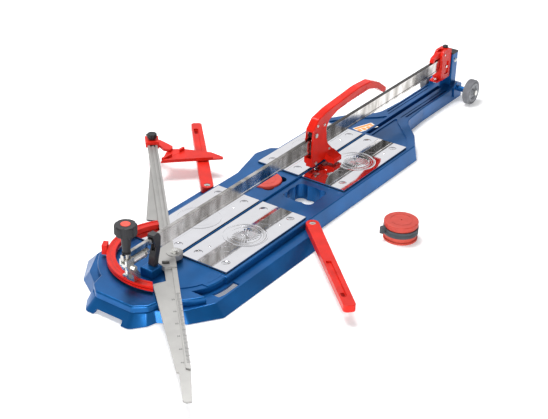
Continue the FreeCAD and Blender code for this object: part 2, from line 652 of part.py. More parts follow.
def plate_springs():
    """Coil springs between the bed floor and the wells under each pad."""
    coils = []
    wire_r, coil_r = 1.1, 6.5
    top = PLATE_TOP - PLATE_T - PAD_T + 3.0
    height = top - BED_FLOOR - 2 * wire_r
    for x0, x1 in (FRONT_PLATE, REAR_PLATE):
        for x, y in spring_spots(x0, x1):
            for side in (-1, 1):
                helix = Part.makeHelix(height / 2.5, height, coil_r)
                start = Part.Wire(Part.makeCircle(wire_r, V(coil_r, 0, 0), Y))
                coil = Part.Wire(helix).makePipeShell([start], True, True)
                coil.translate(V(x, side * y, BED_FLOOR + wire_r))
                coils.append(coil)
    add("plate_springs", Part.makeCompound(coils))


# ---------------------------------------------------------------- carriage and lever
def carriage():
    """Two side plates beside the rail, joined by the roller axles and a top bridge."""
    low, high = RAIL_LOW - 14, RAIL_TOP + 24
    outline = [(572, low, 7), (642, low, 7), (642, high, 10), (572, high - 2, 8)]
    plate = side_prism(outline, SIDE_IN, SIDE_OUT)
    bridge = box(594, 616, -SIDE_IN - 0.5, SIDE_IN + 0.5, RAIL_TOP + 2 * ROLLER_R + 0.6, high)
    frame = fuse([plate, flip_y(plate), bridge])
    pins = []
    for name, (x, z, r) in roller_spots().items():
        pivot = name == "roller_upper_front"
        pin_r = PIVOT_PIN_R if pivot else ROLLER_PIN_R
        reach = CHEEK_OUT + 1.5 if pivot else SIDE_OUT
        pin = cyl(pin_r, 2 * reach, (x, -reach, z), Y)
        if pivot:
            pin = fuse([pin] + [hexagon(12, 4, (x, s * (CHEEK_OUT + 0.25), z), Y * s)
                                for s in (-1, 1)])
        pins.append(pin)
        frame = frame.cut(cyl(pin_r + 0.02, 60, (x, -30, z), Y))
        roller = cyl(r, 11.2, (x, -5.6, z), Y)
        groove = tube(r + 1, r - 0.8, 2.4, (x, -1.2, z), Y)
        add(name, cut(roller, [cyl(pin_r + 0.04, 40, (x, -20, z), Y), groove]))
    add("carriage_block", frame)
    add("carriage_pins", Part.makeCompound(pins))


def roller_spots():
    """Place and radius of the rollers above and below the rail."""
    above = RAIL_TOP + ROLLER_R + ROLLER_CLEAR
    below = RAIL_LOW - LOWER_ROLLER_R - ROLLER_CLEAR
    front, rear = ROLLER_X
    return {"roller_upper_front": (front, above, ROLLER_R),
            "roller_upper_rear": (rear, above, ROLLER_R),
            "roller_lower_front": (front, below, LOWER_ROLLER_R),
            "roller_lower_rear": (rear, below, LOWER_ROLLER_R)}


def lever():
    """Handle lever: a curved grip above the rail and two cheeks that straddle the carriage."""
    pivot = roller_spots()["roller_upper_front"]
    grip = [(566, 146), (568, 176, 12), (594, 202, 18), (645, 213, 50), (800, 227, 90),
            (868, 224, 24), (915, 204, 14), (955, 176, 4), (957, 165, 4), (944, 162, 4),
            (905, 188, 12), (858, 201, 24), (760, 199, 60), (690, 194, 30), (648, 180, 10),
            (636, 164, 10), (636, 146)]
    top = side_prism(grip, -CHEEK_OUT, CHEEK_OUT)
    sides = [e for e in top.Edges if e.BoundBox.YLength < 0.01 and e.BoundBox.ZMin > 160]
    top = top.makeFillet(3, sides)
    cheek = [(566, 148), (566, 76, 6), (574, 68, 4), (612, 66), (636, 72, 4), (636, 84.1),
             (668, 84.1), (668, 88, 2), (645, 110, 16), (636, 130, 16), (636, 148)]
    side = side_prism(cheek, CHEEK_IN, CHEEK_OUT)
    apron = box(566, 570, -CHEEK_IN - 0.5, CHEEK_IN + 0.5, 76, 90)
    room = box(574, 660, -CHEEK_IN, CHEEK_IN, 136, RAIL_TOP + 30).fuse(
        box(560, 660, -CHEEK_IN, CHEEK_IN, 136, RAIL_TOP + 22))
    body = fuse([top.cut(room), side, flip_y(side), apron])
    body = body.cut(cyl(PIVOT_PIN_R + 0.05, 80, (pivot[0], -40, pivot[1]), Y))
    body = body.cut(cyl(3.0, 80, (CUT_X - 26, -40, CUT_Z + 4), Y))
    # shallow panel in each side and finger grooves under the grip
    panel = side_prism([(672, 198, 4), (840, 209, 3), (838, 218, 3), (672, 209, 4)],
                       CHEEK_OUT - 0.8, CHEEK_OUT + 3)
    grooves = [cyl(7, 60, (740 + 26 * i, -30, 194 + 0.5 * i), Y) for i in range(5)]
    add("handle_lever", cut(body, [panel, flip_y(panel)] + grooves))

    # holder of the scoring wheel, between the cheeks and below the rail
    holder = side_prism([(570.2, 62, 3), (588, 59, 3), (603, 66), (621, 66), (634, 62, 3),
                         (634, 75.8, 2), (570.2, 75.8, 2)], -CHEEK_IN + 0.1, CHEEK_IN - 0.1)
    slot = box(599, 625, -2.6, 2.6, 50, 79.2)
    holes = [cyl(2.52, 60, (CUT_X, -30, CUT_Z), Y), cyl(3.0, 80, (CUT_X - 26, -40, CUT_Z + 4), Y)]
    add("wheel_holder", cut(holder, [slot] + holes))

    # breaker foot behind it: presses on both sides of the scored line
    foot = [(-42, 71, 3), (-42, 57.5, 2), (-20, 57.5, 2), (-12, 63, 3), (12, 63, 3),
            (20, 57.5, 2), (42, 57.5, 2), (42, 71, 3), (15, 84, 3), (-15, 84, 3)]
    room = box(600, 690, -CHEEK_IN, CHEEK_IN, 71.5, 99)
    add("breaker_foot", cross_prism(foot, 636.1, 674).cut(room))

    pins = [cyl(2.5, 2 * CHEEK_IN - 0.2, (CUT_X, -CHEEK_IN + 0.1, CUT_Z), Y),
            fuse([cyl(2.95, 2 * CHEEK_OUT, (CUT_X - 26, -CHEEK_OUT, CUT_Z + 4), Y)] +
                 [cyl(5, 2, (CUT_X - 26, s * CHEEK_OUT, CUT_Z + 4), Y * s) for s in (-1, 1)])]
    for x, z in ((588, 184), (622, 176), (652, 92)):
        for s in (-1, 1):
            pins.append(fuse([cyl(4, 1.6, (x, s * CHEEK_OUT, z), Y * s),
                              hexagon(4.5, 2.4, (x, s * CHEEK_OUT, z), Y * s)]))
    add("lever_screws", Part.makeCompound(pins))

    edge = fuse([cone(CUT_R - 1.2, CUT_R, 1.2, (CUT_X, -1.2, CUT_Z), Y),
                 cone(CUT_R, CUT_R - 1.2, 1.2, (CUT_X, 0, CUT_Z), Y)])
    disc = fuse([cyl(CUT_R - 4, 4.4, (CUT_X, -2.2, CUT_Z), Y), edge])
    add("scoring_wheel", disc.cut(cyl(2.54, 20, (CUT_X, -10, CUT_Z), Y)))


# ---------------------------------------------------------------- gauge
def along_gauge(shape):
    """From bar axes (x along the bar to its far end, y away from the tile) to the model's."""
    out = turned(shape, GAUGE_ANGLE)
    out.translate(V(PIVOT_X, 0, 0))
    return out


def gauge():
    """Hub on the pivot, near and far halves of the bar, angle ring and its pointer."""
    hub = fuse([cyl(20.4, HUB_TOP - BAR_LOW, (0, 0, BAR_LOW)),
                prism([(-HUB_NEAR, 0), (HUB_FAR, 0), (HUB_FAR, BAR_WIDE), (52, 38, 10),
                       (30, 52, 12), (-20, 52, 10), (-50, 40, 8), (-HUB_NEAR, 30, 4)],
                      BAR_LOW, BAR_TOP)])
    hub = hub.cut(cyl(6.26, 60, (0, 0, 30))).cut(box(-52, -36, 16, 34, BAR_LOW + 3, BAR_TOP + 1))
    add("gauge_hub", along_gauge(hub))

    # near half: flat tapered plate with a raised measuring edge
    start = -HUB_NEAR - 0.2
    flat = prism([(start, 0), (start, 30), (-118, 30, 4), (-128, 62, 3), (-482, 36), (-483, 31),
                  (-BAR_NEAR + 6, 31, 2), (-BAR_NEAR, 24, 2), (-BAR_NEAR + 2, 12), (-474, 4),
                  (-330, 2)], BAR_LOW, BAR_LOW + 5)
    lip = prism([(start, 0), (start, 12), (-330, 13), (-474, 15.5), (-480, 6), (-474, 4),
                 (-330, 2)], BAR_LOW, BAR_TOP - 3)
    ticks = [box(-s - 0.3, -s + 0.3, 5 if i % 5 else 2, 11, BAR_TOP - 3.4, BAR_TOP)
             for i, s in enumerate(range(180, 460, 5))]
    add("gauge_bar_near", along_gauge(cut(fuse([flat, lip]), ticks)))

    # far half: extruded bar with two ridges, and a flange that tapers away
    section = [(0, BAR_LOW), (BAR_WIDE, BAR_LOW), (BAR_WIDE, BAR_TOP), (21, BAR_TOP),
               (21, BAR_TOP - 4), (16, BAR_TOP - 4), (16, BAR_TOP - 1.5), (10, BAR_TOP - 1.5),
               (10, BAR_TOP - 5), (6, BAR_TOP - 5), (6, BAR_TOP), (0, BAR_TOP)]
    bar = cross_prism(section, HUB_FAR + 0.2, BAR_FAR - 6)
    flange = prism([(176, BAR_WIDE), (186, 58, 4), (486, BAR_WIDE)], BAR_LOW, BAR_LOW + 4)
    add("gauge_bar_far", along_gauge(fuse([bar, flange])))
    cap = prism([(BAR_FAR - 6, -0.5), (BAR_FAR, -0.5, 2), (BAR_FAR, BAR_WIDE + 0.5, 2),
                 (BAR_FAR - 6, BAR_WIDE + 0.5)], BAR_LOW - 0.4, BAR_TOP + 1)
    add("gauge_end_cap", along_gauge(cap))

    # half ring for the angle scale, joined to the bar at both ends
    ring = tube(RING_OUT, RING_IN, RING_TOP - RING_LOW, (0, 0, RING_LOW))
    ring = ring.cut(tube(RING_OUT - 5, RING_IN + 5, RING_SUNK, (0, 0, RING_TOP - RING_SUNK)))
    groove = tube(RING_OUT + 1, RING_OUT - 3, 2.5, (0, 0, RING_LOW + 5))
    half = ring.cut(groove).cut(box(-200, 200, -200, BAR_WIDE + 2.2, 0, 99))
    half = half.cut(prism([(-118, 28), (-128, 63), (-200, 63), (-200, 28)], 0, 99))
    foot = prism([(RING_IN + 1, BAR_WIDE + 0.2), (RING_OUT - 7, BAR_WIDE + 0.2),
                  (RING_OUT - 8, BAR_WIDE + 8), (RING_IN, BAR_WIDE + 8)], RING_LOW, RING_TOP - 3)
    add("protractor_ring", along_gauge(fuse([half, foot])))

    # pointer on the ring's outer side, with a window through it
    block = box(RING_OUT + 0.1, RING_OUT + 13, -12, 12, RING_LOW - 1, RING_TOP + 11)
    window = box(RING_OUT + 4, RING_OUT + 30, -6, 6, RING_LOW - 9, RING_TOP + 4)
    pointer = turned(block.cut(window), POINTER_ANGLE - GAUGE_ANGLE)
    add("ring_pointer", along_gauge(pointer))


def lock_knob():
    """Hand knob that clamps the protractor ring through the rail's tongue."""
    low = RAIL_TOP - 1.0
    head_low = low + 50
    head_high = head_low + 27
    stem = cone(9, 13.5, 48, (LOCK_X, 0, low + 3))
    collar = cyl(11, 3, (LOCK_X, 0, low))
    head = cyl(27, head_high - head_low, (LOCK_X, 0, head_low))
    head = head.makeFillet(4, [e for e in head.Edges if e.Length > 100])
    notches = [cyl(11, 40, (LOCK_X + 34.5 * math.cos(math.radians(a)),
                            34.5 * math.sin(math.radians(a)), head_low - 4))
               for a in range(30, 390, 60)]
    knob = fuse([stem, collar, head])
    knob = cut(knob, notches).cut(cyl(12, 3, (LOCK_X, 0, head_high - 2)))
    add("lock_knob", knob.cut(cyl(4.5, 30, (LOCK_X, 0, low - 1))))
    cap = cyl(11.8, 3.4, (LOCK_X, 0, head_high - 2))
    add("knob_cap", soften(cap, 1, head_high + 1.4))
    tip = 92.0
    screw = fuse([cyl(4.45, low + 24 - tip, (LOCK_X, 0, tip)), cyl(4.8, 4, (LOCK_X, 0, tip))])
    add("lock_screw", screw)


def lateral_stop():
    """Bracket that rides on the far bar, with a fence plate set square to the bar."""
    gap = 0.3
    s0 = STOP_AT
    low = BAR_LOW - 0.4
    saddle = box(s0, s0 + 42, -5, BAR_WIDE + 5, low, BAR_TOP + 9)
    channel = box(s0 - 1, s0 + 50, -gap, BAR_WIDE + gap, 0, BAR_TOP + gap)
    over_flange = box(s0 - 1, s0 + 50, BAR_WIDE, 99, 0, BAR_LOW + 4.5)
    arm = prism([(s0 + 40, -4, 4), (s0 + 20, -20, 10), (s0 - 14, -44, 8), (s0 - 34, -34, 4),
                 (s0 - 26, -16, 8), (s0 + 2, -4, 3)], BAR_LOW + 4.2, BAR_TOP)
    bracket = fuse([cut(saddle, [channel, over_flange]), arm])
    knob_at = (s0 + 22, 13.5)
    add("stop_bracket", along_gauge(bracket.cut(cyl(4.1, 40, knob_at + (BAR_TOP,)))))
    thick = 3.8
    fence = prism([(s0 - 92, -3), (s0 - 86, -178, 2), (s0 - 76, -180, 2), (s0 - 44, -150, 20),
                   (s0 - 16, -76, 10), (s0 - 12, -34, 6), (s0 - 34, -22, 4)], low, low + thick)
    rib = prism([(s0 - 90, -8), (s0 - 86, -150), (s0 - 80, -150), (s0 - 84, -8)],
                low + thick - 1, low + 9)
    fold = prism([(s0 - 87, -10.5), (s0 - 21, -76), (s0 - 16, -72), (s0 - 81.5, -6)],
                 low + thick - 1, low + 12)
    clear_arm = box(s0 - 60, s0 + 60, -60, -4, BAR_LOW + 4, BAR_TOP + 20)
    add("stop_fence", along_gauge(fuse([fence, rib, fold]).cut(clear_arm)))
    z0 = BAR_TOP + 9.2
    knob = cyl(14, 13, knob_at + (z0 + 4,))
    knob = knob.makeFillet(2.5, [e for e in knob.Edges if e.Length > 60])
    dents = [cyl(5, 30, (knob_at[0] + 17 * math.cos(math.radians(a)),
                         knob_at[1] + 17 * math.sin(math.radians(a)), z0))
             for a in range(0, 360, 60)]
    stud = cyl(4.0, z0 + 5 - BAR_TOP - 0.6, knob_at + (BAR_TOP + 0.6,))
    add("stop_knob", along_gauge(fuse([cut(knob, dents), cyl(8, 4, knob_at + (z0,)), stud])))


# ---------------------------------------------------------------- support arms and pucks
def arm_shape():
    """Arm along -x from its pivot at the origin."""
    body = prism([(0, -ARM_HALF), (0, ARM_HALF), (-ARM_LENGTH, ARM_HALF - 2, 10),
                  (-ARM_LENGTH, -ARM_HALF + 2, 10)], ARM_LOW, ARM_TOP)
    body = fuse([body, cyl(ARM_HALF, ARM_TOP - ARM_LOW, (0, 0, ARM_LOW))])
    return soften(body, 1.5, ARM_TOP)


def arms():
    """Support arms that swing out from the shelves."""
    for name, side, rest in (("near", -1, ARM_REST[0]), ("far", 1, ARM_REST[1])):
        arm = arm_shape()
        arm = arm.cut(cyl(4.24, 60, (0, 0, 20))).cut(cyl(8.8, 10, (0, 0, ARM_TOP - 4)))
        # sunk window towards the tip, on the side that faces the head, and the hollow below
        window = prism([(-190, -3, 3), (-356, -3, 8), (-356, 11, 6), (-190, 11, 3)],
                       ARM_TOP - 5, ARM_TOP + 1)
        hole = prism([(-330, -1, 2), (-352, -1, 2), (-352, 9, 2), (-330, 9, 2)], 0, 90)
        under = prism([(-26, -13), (-26, 13), (-384, 11.5, 6), (-384, -11.5, 6)],
                      ARM_LOW - 1, ARM_TOP - 8)
        webs = [box(-x - 1.5, -x + 1.5, -13, 13, ARM_LOW, ARM_TOP - 7) for x in (90, 160, 230, 300)]
        wall = prism([(-326, -4), (-356, -4), (-356, 12.4), (-326, 12.4)], ARM_LOW, ARM_TOP - 6)
        arm = fuse([cut(arm, [window, hole, under]), wall] + webs).cut(hole)
        arm = flip_y(arm) if side > 0 else arm
        arm = turned(arm, -side * rest)
        arm.translate(V(ARM_PIVOT[0], side * ARM_PIVOT[1], 0))
        add("arm_" + name, arm)


def puck_base(r):
    body = cyl(r - 3, PUCK_H - 12, (0, 0, 0))
    body = body.cut(cyl(r - 8, PUCK_H - 18, (0, 0, -1)))
    ribs = [turned(box(-r + 6, r - 6, -1.5, 1.5, 1, PUCK_H - 14), a) for a in (0, 60, 120)]
    flange = cyl(r, 5, (0, 0, 0)).cut(cyl(r - 8, 6, (0, 0, -0.5)))
    return fuse([body, flange] + ribs)


def puck_cap(r):
    cap = soften(cyl(r, 12, (0, 0, PUCK_H - 12)), 2.5, PUCK_H)
    cap = cap.cut(tube(r - 16, r - 17.2, 2, (0, 0, PUCK_H - 0.7)))
    return cap.cut(cyl(2.2, 3, (0, 0, PUCK_H - 2)))


def pucks():
    """One puck stored in its pocket, and one beside the base with its strap."""
    stored = fuse([puck_base(PUCK_R), puck_cap(PUCK_R)])
    stored = stored.cut(box(-PUCK_R, PUCK_R, -0.6, 0.6, PUCK_H - 1, PUCK_H + 1))
    stored.translate(V(POCKET_X, POCKET_Y, 0.3))
    add("puck_stored", stored)
    strap = tube(PUCK_STRAP_R, PUCK_R - 2.9, 17, (0, 0, 18))
    tab = fuse([box(-6, 6, PUCK_R - 1, PUCK_R + 9, 20, 38),
                cyl(4.5, 18, (0, PUCK_R + 9, 20))])
    strap = fuse([strap, turned(tab, 52)])
    strap = cut(strap, [tube(PUCK_R + 2, PUCK_R + 0.2, 2, (0, 0, 25.5))])
    for name, shape in (("puck_base", puck_base(PUCK_R)), ("puck_strap", strap),
                        ("puck_cap", puck_cap(PUCK_R))):
        shape.translate(V(*PUCK_AT, 0))
        add(name, shape)


# ---------------------------------------------------------------- build and write
def build():
    base_casting()
    breaker_rib()
    rubber_feet()
    rail()
    front_parts()
    base_bolts()
    rear_parts()
    wheels()
    plates()
    plate_springs()
    carriage()
    lever()
    gauge()
    lock_knob()
    lateral_stop()
    arms()
    pucks()


def write():
    """Move the model so that its footprint's centre is the origin and write the parts."""
    extent = Part.makeCompound(list(PARTS.values())).optimalBoundingBox(False, False)
    shift = V(-extent.Center.x, -extent.Center.y, -extent.ZMin)
    os.makedirs("parts", exist_ok=True)
    for name, shape in PARTS.items():
        shape.translate(shift)
        shape.exportStep("parts/" + name + ".step")
    return shift


build()
write()
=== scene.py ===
"""Looks of the tile cutter: materials, relief, scales, treads, floor, light and camera."""
import json
import math

import bmesh
import bpy
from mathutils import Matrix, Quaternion, Vector


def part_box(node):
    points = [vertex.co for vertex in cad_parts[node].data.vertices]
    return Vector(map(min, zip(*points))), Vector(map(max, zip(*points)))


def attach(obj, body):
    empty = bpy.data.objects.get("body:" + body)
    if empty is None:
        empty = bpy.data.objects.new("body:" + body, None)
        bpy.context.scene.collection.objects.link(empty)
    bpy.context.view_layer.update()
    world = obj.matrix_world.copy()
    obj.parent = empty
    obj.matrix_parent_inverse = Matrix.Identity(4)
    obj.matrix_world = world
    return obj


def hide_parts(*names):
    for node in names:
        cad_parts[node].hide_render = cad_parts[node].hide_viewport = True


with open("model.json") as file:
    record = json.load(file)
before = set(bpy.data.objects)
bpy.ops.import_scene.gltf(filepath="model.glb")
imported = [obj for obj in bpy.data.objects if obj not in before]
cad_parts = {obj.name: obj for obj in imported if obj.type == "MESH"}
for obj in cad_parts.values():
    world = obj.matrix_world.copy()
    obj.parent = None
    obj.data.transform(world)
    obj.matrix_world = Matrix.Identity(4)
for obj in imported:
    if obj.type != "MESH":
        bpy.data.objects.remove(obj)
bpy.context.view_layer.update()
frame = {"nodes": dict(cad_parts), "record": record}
MM = 0.001

# ---------------------------------------------------------------- places taken from the frame
# Layout axes: x = 0 at the front plates' front edge, y = 0 in the rail's middle plane.
RAIL_LOW, RAIL_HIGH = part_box("rail")
ZERO_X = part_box("plate_front_near")[0].x
ZERO_Y = (RAIL_LOW.y + RAIL_HIGH.y) / 2
GAUGE_PIVOT = Vector((ZERO_X - 20 * MM, ZERO_Y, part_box("gauge_hub")[1].z))
GAUGE_ANGLE = math.radians(43.6)
BODY_OF = {node: body for body, nodes in frame["record"]["behaviour"]["bodies"].items()
           for node in nodes}


def along_gauge(s, t, z):
    """Point at s along the gauge bar and t across it, both from the pivot, at height z."""
    c, d = math.cos(GAUGE_ANGLE), math.sin(GAUGE_ANGLE)
    return Vector((GAUGE_PIVOT.x + s * c - t * d, GAUGE_PIVOT.y + s * d + t * c, z))


# ---------------------------------------------------------------- materials
def add_node(tree, kind, **inputs):
    """New node with its sockets set; a name takes _ where the socket's has a space."""
    node = tree.nodes.new(kind)
    for name, value in inputs.items():
        node.inputs[name.replace("_", " ")].default_value = value
    return node


def grain_noise(tree, scale, stretch=(1, 1, 1), turn=0.0, detail=4.0):
    """Noise in the model's own coordinates; scale is in waves per metre."""
    coords = tree.nodes.new("ShaderNodeTexCoord")
    mapping = tree.nodes.new("ShaderNodeMapping")
    mapping.inputs["Scale"].default_value = stretch
    mapping.inputs["Rotation"].default_value = (0, 0, turn)
    noise = add_node(tree, "ShaderNodeTexNoise", Scale=scale, Detail=detail)
    tree.links.new(coords.outputs["Object"], mapping.inputs["Vector"])
    tree.links.new(mapping.outputs["Vector"], noise.inputs["Vector"])
    return noise.outputs["Fac"]


def vary_color(tree, shader, source, color, spread):
    """Base colour that runs a little darker and a little lighter with the source."""
    ramp = tree.nodes.new("ShaderNodeValToRGB")
    ramp.color_ramp.elements[0].position = 0.3
    ramp.color_ramp.elements[1].position = 0.7
    for element, factor in zip(ramp.color_ramp.elements, (1 - spread, 1 + spread)):
        element.color = [min(1.0, c * factor) for c in color] + [1]
    tree.links.new(source, ramp.inputs["Fac"])
    tree.links.new(ramp.outputs["Color"], shader.inputs["Base Color"])


def vary_roughness(tree, shader, source, low, high):
    span = add_node(tree, "ShaderNodeMapRange", To_Min=low, To_Max=high)
    tree.links.new(source, span.inputs["Value"])
    tree.links.new(span.outputs["Result"], shader.inputs["Roughness"])


def add_bump(tree, shader, source, strength, depth):
    bump = add_node(tree, "ShaderNodeBump", Strength=strength, Distance=depth)
    tree.links.new(source, bump.inputs["Height"])
    tree.links.new(bump.outputs["Normal"], shader.inputs["Normal"])


def surface(name, color, rough, metallic=0.0, spread=0.08, patch=30.0, grain=900.0, bump=0.2,
            depth=0.0001, stretch=(1, 1, 1), turn=0.0, **sockets):
    """Material with patchy colour, uneven roughness and a fine grain."""
    material = bpy.data.materials.new(name)
    material.use_nodes = True
    tree = material.node_tree
    shader = tree.nodes["Principled BSDF"]
    shader.inputs["Metallic"].default_value = metallic
    for socket, value in sockets.items():
        shader.inputs[socket.replace("_", " ")].default_value = value
    patches = grain_noise(tree, patch, detail=3.0)
    fine = grain_noise(tree, grain, stretch, turn)
    vary_color(tree, shader, patches, color, spread)
    vary_roughness(tree, shader, fine, rough[0], rough[1])
    add_bump(tree, shader, fine, bump, depth)
    material.diffuse_color = list(color) + [1]
    return material


# colour of the painted shade along the rail's top edge, the shadow under its top lip
LIP_SHADE_COLOR = (0.06, 0.055, 0.05)


def rail_chrome():
    """Chrome with upright streaks, and painted shade along its top edge for the shadow under its
    top lip, most of all on the rear half.
    """
    material = bpy.data.materials.new("rail_chrome")
    material.use_nodes = True
    tree = material.node_tree
    shader = tree.nodes["Principled BSDF"]
    shader.inputs["Metallic"].default_value = 1.0
    streaks = grain_noise(tree, 34, (1, 1, 0.3), detail=6.0)
    ramp = tree.nodes.new("ShaderNodeValToRGB")
    ramp.color_ramp.elements[0].position = 0.36
    ramp.color_ramp.elements[1].position = 0.64
    ramp.color_ramp.elements[0].color = (0.40, 0.38, 0.35, 1)
    ramp.color_ramp.elements[1].color = (0.88, 0.86, 0.83, 1)
    coords = tree.nodes.new("ShaderNodeTexCoord")
    split = tree.nodes.new("ShaderNodeSeparateXYZ")
    above = add_node(tree, "ShaderNodeMapRange", From_Min=RAIL_HIGH.z - 1.6 * MM,
                     From_Max=RAIL_HIGH.z - 0.6 * MM)
    middle = (RAIL_LOW.x + RAIL_HIGH.x) / 2
    along = add_node(tree, "ShaderNodeMapRange", From_Min=middle - 250 * MM, From_Max=middle,
                     To_Min=0.35, To_Max=1.0)
    both = tree.nodes.new("ShaderNodeMath")
    both.operation = "MULTIPLY"
    tree.links.new(split.outputs["X"], along.inputs["Value"])
    tree.links.new(along.outputs["Result"], both.inputs[0])
    tree.links.new(above.outputs["Result"], both.inputs[1])
    # painted shade: the rail's top millimetre is darkened as the shadow under its top lip, less
    # towards the front
    lip_shade_mix = tree.nodes.new("ShaderNodeMix")
    lip_shade_mix.data_type = "RGBA"
    lip_shade_mix.inputs["B"].default_value = LIP_SHADE_COLOR + (1,)
    tree.links.new(streaks, ramp.inputs["Fac"])
    tree.links.new(coords.outputs["Object"], split.inputs["Vector"])
    tree.links.new(split.outputs["Z"], above.inputs["Value"])
    tree.links.new(both.outputs["Value"], lip_shade_mix.inputs["Factor"])
    tree.links.new(ramp.outputs["Color"], lip_shade_mix.inputs["A"])
    tree.links.new(lip_shade_mix.outputs["Result"], shader.inputs["Base Color"])
    vary_roughness(tree, shader, streaks, 0.08, 0.24)
    add_bump(tree, shader, grain_noise(tree, 40, (1, 1, 0.2)), 0.3, 0.0001)
    return material


BLUE = (0.004, 0.092, 0.285)
RED = (0.60, 0.014, 0.006)
BLACK = (0.012, 0.012, 0.014)
GREY = (0.30, 0.31, 0.33)
BRUSHED = (0.05, 1, 1)      # stretch that draws the grain out along the bar

MATERIALS = {
    "blue_casting": surface("blue_paint", BLUE, (0.26, 0.38), 0.65, 0.18, 12, 500, 0.10,
                            Specular_IOR_Level=0.3, Coat_Weight=0.12, Coat_Roughness=0.05),
    "blue_parts": surface("blue_part_paint", BLUE, (0.26, 0.38), 0.65, 0.12, 20, 500, 0.08,
                          Specular_IOR_Level=0.3, Coat_Weight=0.12, Coat_Roughness=0.05),
    "black_paint": surface("black_paint", BLACK, (0.3, 0.42), 0.0, 0.2, 40, 700, 0.25),
    "rail_steel": rail_chrome(),
    "mirror_plate": surface("mirror_plate", (0.86, 0.86, 0.88), (0.03, 0.07), 1.0, 0.03, 20, 35,
                            0.12, 0.00006),
    "pad_rubber": surface("pad_rubber", (0.02, 0.025, 0.04), (0.5, 0.7), 0.0, 0.2, 60, 900, 0.4),
    "red_paint": surface("red_paint", RED, (0.16, 0.26), 0.0, 0.14, 25, 450, 0.12,
                         Specular_IOR_Level=0.18),
    "red_plastic": surface("red_plastic", RED, (0.3, 0.42), 0.0, 0.12, 25, 1200, 0.15,
                           Specular_IOR_Level=0.25),
    "gauge_aluminium": surface("gauge_aluminium", (0.34, 0.335, 0.322), (0.36, 0.5), 0.6, 0.06, 25,
                               2500, 0.25, 0.00005, BRUSHED, -GAUGE_ANGLE),
    "black_plastic": surface("black_plastic", BLACK, (0.42, 0.56), 0.0, 0.2, 60, 1500, 0.3,
                             Specular_IOR_Level=0.35),
    "red_cap": surface("red_cap", (0.75, 0.06, 0.03), (0.35, 0.5), 0.0, 0.08, 60, 1500, 0.2),
    "grey_tyre": surface("grey_tyre", (0.18, 0.185, 0.20), (0.6, 0.8), 0.0, 0.15, 60, 1200, 0.4),
    "grey_plastic": surface("grey_plastic", GREY, (0.4, 0.55), 0.0, 0.1, 60, 1500, 0.25),
    "zinc_steel": surface("zinc_steel", (0.66, 0.66, 0.63), (0.2, 0.34), 1.0, 0.08, 120, 900, 0.2),
    "hard_metal": surface("hard_metal", (0.4, 0.4, 0.42), (0.15, 0.3), 1.0, 0.08, 200, 2500, 0.2),
    "puck_body": surface("puck_body", (0.56, 0.06, 0.035), (0.45, 0.6), 0.0, 0.1, 50, 1500, 0.25),
    "puck_top": surface("puck_top", (0.50, 0.045, 0.028), (0.5, 0.66), 0.0, 0.1, 40, 1500, 0.35),
    "strap_rubber": surface("strap_rubber", (0.04, 0.05, 0.06), (0.5, 0.7), 0.0, 0.2, 60, 1500,
                            0.35),
}
INK = surface("dark_ink", (0.03, 0.03, 0.035), (0.5, 0.6), 0.0, 0.1, 200, 1500, 0.1)
# dark steel for the scrolls' etched lines, and painted reflection of the dim overhead in the corner
# marks' far walls
ETCHED_AND_SHADED = surface("etched_and_shaded_steel", (0.16, 0.16, 0.17), (0.35, 0.5), 0.8, 0.1, 200, 1500, 0.1)
STICKER = surface("sticker_white", (0.75, 0.74, 0.70), (0.4, 0.5), 0.0, 0.04, 80, 800, 0.1)
STICKER_BAND = surface("sticker_orange", (0.75, 0.28, 0.05), (0.4, 0.5), 0.0, 0.06, 80, 800, 0.1)


def dress_nodes():
    """Give every node of the part the material of its slot."""
    for part in frame["record"]["subparts"]:
        mesh = frame["nodes"][part["node"]].data
        mesh.materials.clear()
        mesh.materials.append(MATERIALS[part["material_slot"]])


# ---------------------------------------------------------------- mesh pieces
def piece(name, verts, faces, material, body, slot, smooth=True):
    """Mesh piece that rides on a body and takes the given material; the slot argument is not used.
    """
    mesh = bpy.data.meshes.new(name)
    mesh.from_pydata([tuple(v) for v in verts], [], faces)
    mesh.materials.append(material)
    work = bmesh.new()
    work.from_mesh(mesh)
    bmesh.ops.recalc_face_normals(work, faces=work.faces)
    work.to_mesh(mesh)
    work.free()
    for polygon in mesh.polygons:
        polygon.use_smooth = smooth
    item = bpy.data.objects.new(name, mesh)
    bpy.context.scene.collection.objects.link(item)
    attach(item, body)
    return item


def lathe(profile, centre, steps, axis="Z"):
    """Closed ring or cap from (radius, height) points turned about an axis."""
    verts, faces = [], []
    count = len(profile)
    for i in range(steps):
        turn = 2 * math.pi * i / steps
        for r, h in profile:
            a, b = r * math.cos(turn), r * math.sin(turn)
            verts.append(centre + (Vector((a, b, h)) if axis == "Z" else Vector((a, h, b))))
    for i in range(steps):
        for k in range(count - 1):
            j = (i + 1) % steps
            faces.append((i * count + k, j * count + k, j * count + k + 1, i * count + k + 1))
    return verts, faces


def join(parts):
    """One vertex and face list from several."""
    verts, faces = [], []
    for more, polygons in parts:
        start = len(verts)
        verts += more
        faces += [tuple(start + k for k in polygon) for polygon in polygons]
    return verts, faces


def slab(corners, low, high):
    """Thin block over a convex outline of (x, y) corners."""
    n = len(corners)
    verts = [Vector((x, y, z)) for z in (low, high) for x, y in corners]
    faces = [tuple(range(n)), tuple(range(n, 2 * n))]
    faces += [(i, (i + 1) % n, n + (i + 1) % n, n + i) for i in range(n)]
    return verts, faces


# ---------------------------------------------------------------- relief of the mirror plates
MEDALLION_R = 57.5 * MM
PETALS = 24
BEADS = 60
CORNER_IN_X = 34 * MM       # pressed corner marks, in from a plate's edges
CORNER_IN_Y = 26 * MM
CORNER_ARC_R = 10.4 * MM
STUD_IN_X = 74 * MM         # small studs, in from a plate's ends and off its middle line
STUD_OFF_Y = 38 * MM
STUD_R = 3.6 * MM
STUD_HEIGHT = 0.8 * MM
SCROLL_START = 57           # reach of a scroll from the medallion's centre, mm
SCROLL_LENGTH = 46
ABOVE_PLATE = 0.02 * MM     # lift that keeps thin lines off the plate's face


